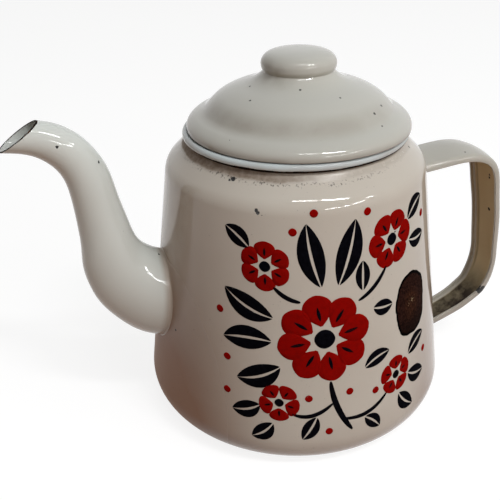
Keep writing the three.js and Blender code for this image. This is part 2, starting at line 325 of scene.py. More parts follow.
def off_axis(piece):
    """Turns the faces of an open patch away from the pot's axis: where their middles times their normals
    add up to less than nothing every face is flipped."""
    if (face_vectors(piece, "center")[:, :2] * face_vectors(piece, "normal")[:, :2]).sum() < 0:
        piece.data.flip_normals()


def finish_piece(piece, body, nodes):
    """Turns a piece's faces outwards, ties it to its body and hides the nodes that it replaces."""
    outward(piece)
    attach(piece, body)
    if nodes:
        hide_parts(*nodes)


def finish_patch(piece, material):
    """Dresses a flush patch on the pot's side and ties it to the pot, where it replaces nothing."""
    off_axis(piece)
    dress(piece, [material])
    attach(piece, "pot")


# Shapes that pieces share

def side_radius(pot, z):
    """Radius of the straight side at a height: the corner's tangent point less the rise times the tangent
    of the taper."""
    t = pot.side_taper
    x = pot.base_radius - pot.corner_radius * (1 - math.cos(t))
    return x - (z - pot.corner_radius * (1 + math.sin(t))) * math.tan(t)


def side_distance(pot, points):
    """Distance of points outside the straight side: the extra radius times the cosine of the taper."""
    extra = np.hypot(points[..., 0], points[..., 1]) - side_radius(pot, points[..., 2])
    return extra * math.cos(pot.side_taper)


def shoulder_middle(pot):
    """Middle of the shoulder's arc and the angle at which it turns into the slope."""
    x = side_radius(pot, pot.side_height) - pot.shoulder_radius * math.cos(pot.side_taper)
    z = pot.side_height - pot.shoulder_radius * math.sin(pot.side_taper)
    return x, z, math.pi / 2 - pot.shoulder_slope


def bead_height(pot):
    """Height of the middle of the mouth bead, where the shoulder's slope and the neck's fillet end."""
    x, z, up = shoulder_middle(pot)
    x, z = x + pot.shoulder_radius * math.cos(up), z + pot.shoulder_radius * math.sin(up)
    slope = (x - pot.mouth_radius - pot.wall) * math.tan(pot.shoulder_slope)
    return z + slope + pot.neck_fillet * math.tan(pot.shoulder_slope / 2)


def seat_height(pot, lid):
    """Height of the lid's seat: the top of the bead and the gap over it."""
    return bead_height(pot) + pot.bead_radius + lid.gap


def dome_line(lid):
    """Outer face of the lid from the vent to its lower edge, as radius and height over the seat."""
    line = smooth_line(np.array(DOME_SHARES) * [lid.radius, lid.dome_height], count=140, blur=0.012)
    return np.vstack([[[lid.vent_radius, lid.dome_height]], line])


# Angle round the pot at which the middle of the painted ornament stands
FRONT = math.radians(-91)


def on_side(pot, across, up, lift):
    """Lays millimetres across the front and up onto the pot's side: the angle is the distance across over
    the radius, counted from the ornament's middle, and the radius is the side's plus the lift."""
    z = up * MM
    r = side_radius(pot, z) + lift * MM / math.cos(pot.side_taper)
    a = FRONT + across * MM / side_radius(pot, z)
    return np.stack([r * np.cos(a), r * np.sin(a), z], -1)


def rows_between(sweep, start, stop, shares):
    """Rows of a swept grid between a start and a stop that differ from column to column, by linear mixing
    of its rows."""
    at = start + (stop - start) * shares[:, None]
    low = np.clip(np.floor(at).astype(int), 0, len(sweep) - 2)
    mix = (at - low)[..., None]
    column = np.arange(sweep.shape[1])[None, :]
    return sweep[low, column] * (1 - mix) + sweep[low + 1, column] * mix


def crossing(values, first=0):
    """Row at which each column of values turns from negative to positive, found between rows by
    proportion."""
    later = values[first:]
    i = np.argmax((later[1:] > 0) & (later[:-1] <= 0), axis=0)
    column = np.arange(values.shape[1])
    low, high = later[i, column], later[i + 1, column]
    return first + i + low / (low - high)


def flare(pot, points, centres, radius):
    """Hollow fillet against the pot's side: points nearer than the radius move away from the sweep's middle
    by radius times one less the root of one less (one less distance share) squared."""
    steepest = 0.9995
    near = np.clip(1 - side_distance(pot, points) / radius, 0, steepest)
    shift = radius * (1 - np.sqrt(1 - near ** 2))
    normal = points * np.array([1, 1, 0])
    normal /= np.linalg.norm(normal, axis=-1, keepdims=True)
    away = points - centres
    away -= (away * normal).sum(-1, keepdims=True) * normal
    away /= np.maximum(np.linalg.norm(away, axis=-1, keepdims=True), SHARP)
    return points + away * shift[..., None]


# Routes and outlines as shares of the sizes above. The spout's have reach, rise and widening, the others
# reach and rise or radius and height.
SPOUT_ROUTE_SHARES = [
    (-0.24, -0.014, 1.0), (-0.1, -0.006, 0.986), (0.02, 0.008, 0.953), (0.116, 0.05, 0.851),
    (0.225, 0.124, 0.757), (0.285, 0.187, 0.642), (0.338, 0.27, 0.507), (0.364, 0.376, 0.338),
    (0.39, 0.502, 0.264), (0.413, 0.604, 0.209), (0.444, 0.742, 0.176), (0.487, 0.822, 0.145),
    (0.558, 0.898, 0.122), (0.652, 0.953, 0.101), (0.752, 0.988, 0.047), (0.868, 1.005, 0.007),
    (1.013, 1.017, -0.007), (1.14, 1.03, -0.014)]
SPOUT_MOUTH_SHARES = (0.865, 1.014)

HANDLE_ROUTE_SHARES = [
    (-0.08, 0.972), (0.21, 0.986), (0.47, 0.998), (0.677, 0.993), (0.845, 0.966), (0.95, 0.915),
    (0.99, 0.848), (0.998, 0.757), (1.012, 0.662), (1.01, 0.57), (1.0, 0.476), (0.99, 0.377),
    (0.945, 0.285), (0.883, 0.224), (0.81, 0.178), (0.68, 0.137), (0.535, 0.097), (0.348, 0.062),
    (0.15, 0.029), (-0.055, -0.006), (-0.21, -0.031)]

DOME_SHARES = [
    (0.2, 1.0), (0.28, 0.998), (0.36, 0.987), (0.44, 0.955), (0.52, 0.905), (0.6, 0.838), (0.67, 0.76),
    (0.73, 0.668), (0.776, 0.568), (0.808, 0.484), (0.84, 0.4), (0.878, 0.342), (0.926, 0.288),
    (0.966, 0.219), (0.99, 0.147), (1.0, 0.07), (1.0, 0.0)]

KNOB_SIDE_SHARES = [(0.0, 0.31), (0.3, 0.345), (0.7, 0.4), (0.94, 0.465), (1.0, 0.56)]
KNOB_TOP_SHARES = [(0.985, 0.66), (0.92, 0.79), (0.79, 0.9), (0.56, 0.97), (0.28, 1.0), (0.0, 1.005)]
# Climb of the enamel up to the knob's foot: parts of the height, each with the power of the share of the
# way
KNOB_SPREAD_CLIMB = [(0.93, 3), (0.07, 20)]


# Steps that materials are made of

def add(tree, kind, inputs=None, out=0, **settings):
    """Adds a node with its settings, links or values for its inputs, and gives back one output."""
    node = tree.nodes.new("ShaderNode" + kind)
    for name, value in settings.items():
        setattr(node, name, value)
    for key, value in (inputs or {}).items():
        if isinstance(value, bpy.types.NodeSocket):
            tree.links.new(value, node.inputs[key])
        else:
            node.inputs[key].default_value = value
    return node.outputs[out] if node.outputs else node


def combine(tree, operation, *values, clamp=False):
    """One step of arithmetic."""
    return add(tree, "Math", dict(enumerate(values)), operation=operation, use_clamp=clamp)


def product(tree, first, *others):
    """Masks multiplied into one."""
    for mask in others:
        first = combine(tree, "MULTIPLY", first, mask)
    return first


def largest(tree, masks):
    """The largest of some masks at each place."""
    whole = masks[0]
    for mask in masks[1:]:
        whole = combine(tree, "MAXIMUM", whole, mask)
    return whole


def ramp(tree, value, span, shares=(0.0, 1.0), smooth=False):
    """Takes a value from the start and stop of a span to two shares, evenly or with soft ends, and holds it
    beyond them."""
    inputs = dict(zip(("Value", "From Min", "From Max", "To Min", "To Max"), (value, *span, *shares)))
    return add(tree, "MapRange", inputs, interpolation_type="SMOOTHSTEP" if smooth else "LINEAR")


def noise(tree, place, size, detail=2.0, roughness=0.5, out="Fac"):
    """Noise whose patches are about as many millimetres wide as the size says."""
    inputs = {"Vector": place, "Scale": 1 / (size * MM), "Detail": detail, "Roughness": roughness}
    return add(tree, "TexNoise", inputs, out)


def blend(tree, share, under, over):
    """Colour that goes from one to the other with a share."""
    return add(tree, "Mix", {0: share, 6: under, 7: over}, 2, data_type="RGBA")


def toward(tree, place, way):
    """Distance of a place along a direction."""
    return add(tree, "VectorMath", {0: place, 1: way}, "Value", operation="DOT_PRODUCT")


def off_by(tree, value, goal):
    """How far a value lies from a goal on either side of it."""
    return combine(tree, "ABSOLUTE", combine(tree, "SUBTRACT", value, goal))


def kept(tree, name):
    """A value that the piece keeps at its points."""
    return add(tree, "Attribute", out="Fac", attribute_name=name)


def spots(tree, place, marks, span, smooth=False):
    """Mask of round marks: each fades in between two shares of its radius. A mark is a place and a radius
    in millimetres."""
    masks = []
    for x, y, z, r in marks:
        far = add(tree, "VectorMath", {0: place, 1: (x * MM, y * MM, z * MM)}, "Value", operation="DISTANCE")
        masks.append(ramp(tree, far, (r * MM * span[0], r * MM * span[1]), smooth=smooth))
    return largest(tree, masks)


def new_material(name):
    """An empty node material."""
    material = bpy.data.materials.new(name)
    material.use_nodes = True
    material.node_tree.nodes.clear()
    return material, material.node_tree


def end_material(tree, paint, roughness, bending, **more):
    """Ends a material in one surface with the given colour, roughness and index of refraction."""
    inputs = {"Base Color": paint, "Roughness": roughness, "IOR": bending, **more}
    add(tree, "OutputMaterial", {"Surface": add(tree, "BsdfPrincipled", inputs)})


# Layers of wear and of painted shade and light, each a mask, a colour and how far it dulls the gloss

# Height at which the dirt under the mouth bead begins
NECK = 122.6 * MM
# Height on the lid's rim below which the brown film lies fully
RIM = 128.4 * MM


def smoke_and_shade(tree, place, axes, cloud):
    """Share of smoke, old tea and painted shade: it grows downwards on the spout side and fades to the back,
    is weaker on the handle side and along the foot, and lies in thin clouds everywhere. The brown low on
    the sides is partly a real stain and partly painted shade of the sides turned from the lamps. The spout
    side's share comes second."""
    low = ramp(tree, axes.outputs["Z"], (132 * MM, 10 * MM), (0.0, 0.9), smooth=True)
    side = toward(tree, place, (-0.96, 0.28, 0.0))
    handle_side = ramp(tree, side, (-41 * MM, -62 * MM), (0.0, 0.48), smooth=True)
    spout_side = ramp(tree, side, (8 * MM, 60 * MM), smooth=True)
    front = ramp(tree, axes.outputs["Y"], (0.0, 60 * MM), (1.0, 0.3))
    corner = product(tree, low, product(tree, spout_side, front))
    foot = ramp(tree, axes.outputs["Z"], (26 * MM, 2 * MM), (0.0, 0.18))
    both = combine(tree, "ADD", combine(tree, "MULTIPLY_ADD", low, handle_side, corner), foot)
    return combine(tree, "MULTIPLY_ADD", cloud, 0.15, both), corner


def soot(tree, place):
    """Fine specks of soot in the glaze, one every few millimetres, where a wider noise lets them stand."""
    speck = add(tree, "TexVoronoi", {"Vector": place, "Scale": 1 / (4.5 * MM)}, "Distance")
    keep = ramp(tree, noise(tree, place, 11), (0.58, 0.64), (0.0, 0.55))
    return product(tree, ramp(tree, speck, (0.05, 0.025)), keep)


def spout_root_smoke_and_shade(tree, place, axes):
    """Brown on the spout's root, which fades over the first few millimetres from the pot: partly the pot's
    smoke carried on, and partly painted shade where the spout meets the pot.
    """
    return ramp(tree, kept(tree, "root"), (0.0, 1.0), (0.0, 0.85), smooth=True), "#a08e7d", 0.3


def neck_dirt(tree, place, axes):
    """Brown dirt in the hollow under the bead: thick on the spout's near side, thin elsewhere, broken by
    noise."""
    height = combine(tree, "MULTIPLY_ADD", noise(tree, place, 9, 4.0, 0.6), 2.4 * MM, axes.outputs["Z"])
    high = ramp(tree, height, (NECK, NECK + 1.3 * MM), smooth=True)
    near = ramp(tree, toward(tree, place, (-0.88, -0.47, 0.0)), (20 * MM, 46 * MM), (0.2, 0.8), smooth=True)
    thin = ramp(tree, axes.outputs["Z"], (NECK + 0.6 * MM, NECK + 2.2 * MM), (0.0, 0.6), smooth=True)
    smear = ramp(tree, noise(tree, place, 2.2, 4.0, 0.6), (0.3, 0.6), (0.7, 1.0))
    both = largest(tree, [product(tree, high, near), thin])
    return product(tree, both, smear), "#5f4732", 1.1


def neck_specks(tree, place, axes):
    """A line of black grains on the slope under the bead: fine noise cut off sharply inside a narrow
    height."""
    height = combine(tree, "MULTIPLY_ADD", noise(tree, place, 14), 2.4 * MM, axes.outputs["Z"])
    line = ramp(tree, off_by(tree, height, NECK), (1.3 * MM, 0.1 * MM))
    grain = combine(tree, "MULTIPLY_ADD", line, 0.17, noise(tree, place, 0.9, 3.0, 0.6))
    grain = ramp(tree, grain, (0.69, 0.77), (0.0, 0.75))
    near = ramp(tree, toward(tree, place, (-0.5, -0.87, 0.0)), (14 * MM, 44 * MM))
    return product(tree, grain, near), "#2a211d", 1.1


def lid_rim_stain(tree, place, axes):
    """Brown film along the rim's lower edge, thicker at the spout's near side and thin towards the handle."""
    edge = ramp(tree, axes.outputs["Z"], (RIM + 3 * MM, RIM), smooth=True)
    near = ramp(tree, toward(tree, place, (-0.8, -0.6, 0.0)), (0.0, 44 * MM), (0.3, 0.6), smooth=True)
    film = ramp(tree, noise(tree, place, 12), (0.3, 0.65), (0.6, 1.0))
    return product(tree, edge, near, film), "#66523d", 0.06


def lid_hollow_stain(tree, place, axes):
    """Grey-brown film in the hollow between dome and rim, thicker at the spout's near side."""
    play, hollow = bpy.context.scene.teapot_lid.play, 37 * MM
    flat = add(tree, "VectorMath", {0: place, 1: (play, 0, 0)}, operation="SUBTRACT")
    flat = add(tree, "VectorMath", {0: flat, 1: (1, 1, 0)}, operation="MULTIPLY")
    radius = add(tree, "VectorMath", {0: flat}, "Value", operation="LENGTH")
    ring = ramp(tree, off_by(tree, radius, hollow), (5.5 * MM, 0.0), smooth=True)
    near = ramp(tree, toward(tree, place, (-0.78, -0.62, 0.0)), (-10 * MM, 36 * MM), (0.14, 0.4))
    film = ramp(tree, noise(tree, place, 10, 3.0), (0.3, 0.65), (0.5, 1.0))
    return product(tree, ring, near, film), "#786a58", 0.06


def knob_stain(tree, place, axes):
    """Finger grime low on the knob and at its foot: soft spots that noise eats into."""
    mask = spots(tree, place, KNOB_GRIME, (1.0, 0.0), smooth=True)
    eaten = ramp(tree, noise(tree, place, 12, 4.0), (0.3, 0.65), (0.12, 0.6))
    return product(tree, mask, eaten), "#6f6049", 0.0


def handle_film_and_painted_light(tree, place, axes):
    """Pale tan over the handle's hollow side, ragged at the lips and thinner on the far flange: partly a
    film of old tea, and partly painted light, for it is lighter than the glaze and brightens the shaded
    channel.
    """
    edge = combine(tree, "MULTIPLY_ADD", noise(tree, place, 2.5), 0.35, kept(tree, "hollow"))
    thin = ramp(tree, kept(tree, "across"), (0.9, 0.97), (0.95, 0.05))
    return product(tree, ramp(tree, edge, (0.45, 1.0), smooth=True), thin), "#dfd0ab", 1.0


def handle_bend_dirt_and_shade(tree, place, axes):
    """Darker brown in the bend along the far flange and in the lower run of the handle's hollow: partly
    dirt, and partly painted shade in the crease and the deep lower channel.
    """
    across = kept(tree, "across")
    bend = ramp(tree, off_by(tree, across, 0.84), (0.11, 0.0), (0.0, 0.42), smooth=True)
    foot = ramp(tree, axes.outputs["Z"], (44 * MM, 26 * MM), smooth=True)
    web = ramp(tree, across, (0.99, 0.9))
    clot = ramp(tree, noise(tree, place, 8, 5.0, 0.65), (0.32, 0.6), (0.72, 1.0))
    inner = ramp(tree, kept(tree, "hollow"), (0.6, 1.0))
    both = largest(tree, [bend, product(tree, foot, web)])
    return product(tree, both, clot, inner), "#24180f", 1.0


# Small chips and grime: places on the teapot and radii, in millimetres
POT_MARKS = [
    (-35.9, -32.4, 121.4, 1.2), (-37.2, -31.7, 120.9, 0.6), (-31.1, -45.3, 113.5, 0.9),
    (-30.6, -45.8, 112.6, 0.9), (-29.2, -46.6, 111.8, 0.5), (5.3, -58.5, 84.9, 0.6),
    (22.2, -52.4, 99.3, 0.5), (-60.1, -19.8, 50.4, 0.7), (39.8, -26.0, 122.2, 0.7)]
SPOUT_MARKS = [(-97.1, -7.1, 132.9, 0.75), (-82.2, -4.2, 123.9, 0.7), (-62.1, -3.5, 79.2, 0.6)]
HANDLE_MARKS = [
    (63.5, -11.1, 107.9, 0.7), (77.9, -8.3, 108.8, 0.6), (97.3, -1.4, 92.4, 0.8), (97.5, -1.2, 91.0, 0.8),
    (100.5, -0.3, 73.7, 1.1), (96.3, -7.7, 32.9, 2.4), (97.4, -7.7, 34.5, 2.0), (90.7, 7.7, 28.1, 1.0)]
LID_MARKS = [
    (-19.5, -1.2, 146.3, 0.7), (-23.0, -12.8, 144.3, 0.6), (-4.2, -17.4, 147.9, 0.6),
    (9.6, -24.0, 145.1, 0.65), (27.2, -23.8, 140.0, 0.75), (21.5, -29.8, 139.2, 0.75),
    (36.1, -16.0, 136.4, 0.5), (23.2, -33.7, 135.1, 0.65), (-34.6, -24.4, 133.4, 0.6)]
KNOB_GRIME = [(-13.6, -4.9, 152.8, 6.5), (-11.1, -9.9, 151.8, 5.5), (-8.3, -11, 148.6, 5.5)]


# Materials

def glaze(name, base, smoke_and_shade_share, marks, layers):
    """Glossy vitreous enamel on pressed steel, fired thick: it is smooth and slightly wavy, so lamps show
    as wobbling streaks. Old tea and smoke tint it brown low down, and the same brown paints shade low on
    the sides turned from the lamps. Where it is chipped the dark iron shows."""
    colours = bpy.context.scene.teapot_colours
    material, tree = new_material(name)
    place = add(tree, "TexCoord", out="Object")
    axes = add(tree, "SeparateXYZ", {0: place}).node
    cloud = noise(tree, place, 34, 3.0)
    # Brown of smoke and old tea, which also paints shade low on the sides turned from the lamps
    tint, corner = smoke_and_shade(tree, place, axes, cloud)
    tint = combine(tree, "MULTIPLY", tint, smoke_and_shade_share, clamp=True)
    paint = blend(tree, tint, base, colours.smoke_and_shade)
    paint = blend(tree, soot(tree, place), paint, colours.dirt)
    films = []
    for layer in layers:
        mask, tone, matt = layer(tree, place, axes)
        films.append(combine(tree, "MULTIPLY", mask, matt))
        paint = blend(tree, mask, paint, linear(tone))
    rough = ramp(tree, cloud, (0.3, 0.75), (0.035, 0.07))
    rough = combine(tree, "MULTIPLY_ADD", corner, 0.5 * smoke_and_shade_share, rough)
    rough = combine(tree, "ADD", largest(tree, films), rough, clamp=True)
    relief = combine(tree, "MULTIPLY_ADD", noise(tree, place, 1.6, 1.0), 0.03, noise(tree, place, 9, 1.0))
    normal = add(tree, "Bump", {"Height": relief, "Strength": 0.5, "Distance": 0.1 * MM})
    wobble = noise(tree, place, 0.9, 1.0, out="Color")
    wobble = add(tree, "VectorMath", {0: wobble, 1: (0.5, 0.5, 0.5)}, operation="SUBTRACT")
    shaken = add(tree, "VectorMath", {0: wobble, 1: (0.6 * MM,) * 3, 2: place}, operation="MULTIPLY_ADD")
    chips = spots(tree, shaken, marks, (0.86, 0.7))
    paint = blend(tree, chips, paint, colours.iron)
    rough = combine(tree, "MULTIPLY_ADD", chips, 0.4, rough)
    pit = {"Height": chips, "Strength": 0.8, "Distance": 0.2 * MM, "Normal": normal}
    end_material(tree, paint, rough, 1.5, Normal=add(tree, "Bump", pit, invert=True))
    return material


def plain_glaze(name, base, dirt, cloud_size=26, dirt_share=0.35, roughness=0.07, bending=1.38):
    """Glaze of one colour, as the white lining or a printed colour under clear glaze: it is glossy, and
    thin dirt lies on it in soft clouds."""
    material, tree = new_material(name)
    place = add(tree, "TexCoord", out="Object")
    mask = ramp(tree, noise(tree, place, cloud_size, 3.0), (0.4, 0.7), (0.0, dirt_share))
    ripple = noise(tree, place, 9, 1.0)
    normal = add(tree, "Bump", {"Height": ripple, "Strength": 0.5, "Distance": 0.1 * MM})
    end_material(tree, blend(tree, mask, base, dirt), roughness, bending, Normal=normal)
    return material


def bare_iron(name, iron, rust):
    """Iron laid bare at an edge: almost black, dull and rough, with a little rust in it."""
    material, tree = new_material(name)
    place = add(tree, "TexCoord", out="Object")
    mask = ramp(tree, noise(tree, place, 1.5, 3.0), (0.5, 0.75), (0.0, 0.6))
    end_material(tree, blend(tree, mask, iron, rust), 0.55, 1.1)
    return material


def chipped_iron(name, rust):
    """Iron laid bare by a big chip: dark, grainy and dull, rusty with a few pale grains in its heart, and
    black with broken ground coat along its edge. The share of the way to the edge is kept by the piece."""
    material, tree = new_material(name)
    place = add(tree, "TexCoord", out="Object")
    share = kept(tree, "share")
    grain = noise(tree, place, 0.9, 5.0, 0.8)
    heart = product(tree, ramp(tree, share, (0.75, 0.1), smooth=True), noise(tree, place, 5, 3.0))
    coarse = ramp(tree, grain, (0.42, 0.6))
    lower = ramp(tree, add(tree, "SeparateXYZ", {0: place}, "Z"), (64 * MM, 54 * MM), (0.0, 0.6), smooth=True)
    warm = product(tree, ramp(tree, heart, (0.12, 0.5), (0.0, 0.4)), coarse)
    fleck = ramp(tree, product(tree, heart, grain), (0.28, 0.31))
    edge = ramp(tree, share, (0.85, 0.89))
    paint = blend(tree, coarse, linear("#170d0a"), linear("#38211b"))
    paint = blend(tree, lower, paint, linear("#0e0807"))
    paint = blend(tree, warm, paint, rust)
    paint = blend(tree, fleck, paint, linear("#c9b690"))
    paint = blend(tree, edge, paint, linear("#040303"))
    normal = add(tree, "Bump", {"Height": grain, "Strength": 0.8, "Distance": 0.3 * MM})
    end_material(tree, paint, 0.4, 1.02, Normal=normal)
    return material


def shared_material(key):
    """Makes each material once and gives it back by its key afterwards."""
    if key in bpy.data.materials:
        return bpy.data.materials[key]
    c = bpy.context.scene.teapot_colours
    # Small clouds, a little more dirt, gloss and a low index of refraction, which keeps printed colours
    # dark
    printed = (1.5, 0.4, 0.06, 1.02)
    # The maker of each material and what it is given: a glaze has its colour, its share of smoke and painted
    # shade, its small marks and its layers of wear and painted shade and light, and the others have their
    # colours
    recipes = {
        "cream_enamel_pot": (glaze, c.cream, 1.22, POT_MARKS, (neck_dirt, neck_specks)),
        "cream_enamel_spout": (glaze, c.spout_cream, 0.12, SPOUT_MARKS, (spout_root_smoke_and_shade,)),
        "cream_enamel_handle": (glaze, c.handle_cream, 0.2, HANDLE_MARKS, (handle_film_and_painted_light, handle_bend_dirt_and_shade)),
        "cream_enamel_lid": (
            glaze, c.lid_cream, 0.1, LID_MARKS, (lid_rim_stain, lid_hollow_stain, knob_stain)),
        "white_enamel_lining": (plain_glaze, c.white, c.smoke_and_shade),
        "white_enamel_bead": (plain_glaze, c.bead_white, c.smoke_and_shade),
        "bare_iron_edge": (bare_iron, c.iron, c.rust),
        "chipped_iron": (chipped_iron, c.rust),
        "navy_print_under_glaze": (plain_glaze, c.navy, linear("#16161e"), *printed),
        "red_print_under_glaze": (plain_glaze, c.red, linear("#6c0a08"), *printed),
    }
    maker, *values = recipes[key]
    return maker(key, *values)


# Pieces

class TEAPOT_OT_body(bpy.types.Operator):
    """Enamelled body: bottom, tapered side, shoulder, bead and white inside in one turned surface"""
    bl_idname = "teapot.body"
    bl_label = "Body"

    def execute(self, context):
        pot = context.scene.teapot_pot
        columns = 320
        bead, curl = bead_height(pot), pot.mouth_radius + pot.bead_radius
        outer, roll, inner = self.outlines(pot, bead, curl)
        profile = np.vstack([outer, roll, inner])
        piece = turned("enamel_body", profile, columns)
        # The glaze has gone from the bead's underside up to a ragged line, counted in degrees round the
        # bead
        turn = circle(columns) + np.pi / columns
        ragged = np.radians(-21 + wavy(turn, (4, 5, 1), (3, 13, 0), (2, 29, 0)))
        middle = (profile[1:-2] + profile[2:-1]) / 2
        row = np.arange(len(middle))
        white = row > len(outer) - 3
        low = white & (row < len(outer) + len(roll) / 2)
        bare = low[:, None] & (np.arctan2(middle[:, 1] - bead, middle[:, 0] - curl)[:, None] < ragged)
        index = np.where(bare, BARE, np.where(white, WHITE, CREAM)[:, None])
        index = np.concatenate([index.ravel(), np.full(columns, CREAM), np.full(columns, WHITE)])
        dress(piece, ["cream_enamel_pot", "white_enamel_bead", "bare_iron_edge"], index)
        self.drill_strainer(context, piece, pot)
        finish_piece(piece, "pot", ("body_shell", "base_pan"))
        return {"FINISHED"}

    def outlines(self, pot, bead, curl):
        """Outer face, rolled bead and inner face, as radius and height from the bottom's middle round to
        the inside's middle: arcs with straight runs between them, and the inner arcs one wall further
        in."""
        mid, r, t, wall = pot.base_radius - pot.corner_radius, pot.corner_radius, pot.side_taper, pot.wall
        x, z, up = shoulder_middle(pot)
        hollow = pot.mouth_radius + wall + pot.neck_fillet
        slope_end, bead_start = math.pi * 1.25, math.pi * 1.13
        corner = arc(mid, r, r, -math.pi / 2, t, 24)
        shoulder = arc(x, z, pot.shoulder_radius, t, up, 16)
        fillet = arc(hollow, bead, pot.neck_fillet, slope_end, bead_start, 8)
        outer = linked([[(0, 0)], corner, shoulder, fillet], [8, 40, 3])
        roll = arc(curl, bead, pot.bead_radius, -math.radians(104), math.pi, 72)
        fillet = arc(hollow, bead, pot.neck_fillet + wall, math.pi, slope_end, 8)[1:]
        shoulder = arc(x, z, pot.shoulder_radius - wall, up, t, 12)
        corner = arc(mid, r, r - wall, t, -math.pi / 2, 16)
        return outer, roll, linked([fillet, shoulder, corner, [(0, wall)]], [3, 24, 6])

    def drill_strainer(self, context, piece, pot):
        """Cuts the strainer's staggered round holes through the side behind the spout."""
        spout = context.scene.teapot_spout
        hole, pitch = spout.hole_radius, spout.hole_pitch
        half_height = spout.root_half_height - pot.wall - spout.hole_margin - hole
        half_width = spout.root_half_width - pot.wall - spout.hole_margin - hole
        steps = np.arange(-3, 4)
        row, column = np.meshgrid(steps, steps, indexing="ij")
        y, z = (column + np.where(row % 2, 0.5, 0)) * pitch, row * pitch * math.cos(math.pi / 6)
        keep = np.hypot(y / half_width, z / half_height) <= 1
        y, z = y[keep][:, None, None], z[keep][:, None, None] + spout.height
        sides = 24
        a = circle(sides)
        outside, inside = 3.5 * MM, 6 * MM
        ends = np.array([-outside, inside])[:, None] - side_radius(pot, spout.height)
        rings = np.stack(np.broadcast_arrays(ends, y + hole * np.cos(a), z + hole * np.sin(a)), -1)
        faces = []
        for first in range(0, len(y) * 2 * sides, 2 * sides):
            faces += grid_faces(2, sides, wrap_columns=True, offset=first)
            near, far = range(first + sides - 1, first - 1, -1), range(first + sides, first + 2 * sides)
            faces += [list(near), list(far)]
        drill = put_mesh("strainer_drill", rings, faces, smooth=False)
        outward(drill)
        cut = piece.modifiers.new("strainer", "BOOLEAN")
        cut.operation, cut.object, cut.solver = "DIFFERENCE", drill, "EXACT"
        context.view_layer.objects.active = piece
        bpy.ops.object.modifier_apply(modifier=cut.name)
        bpy.data.objects.remove(drill)


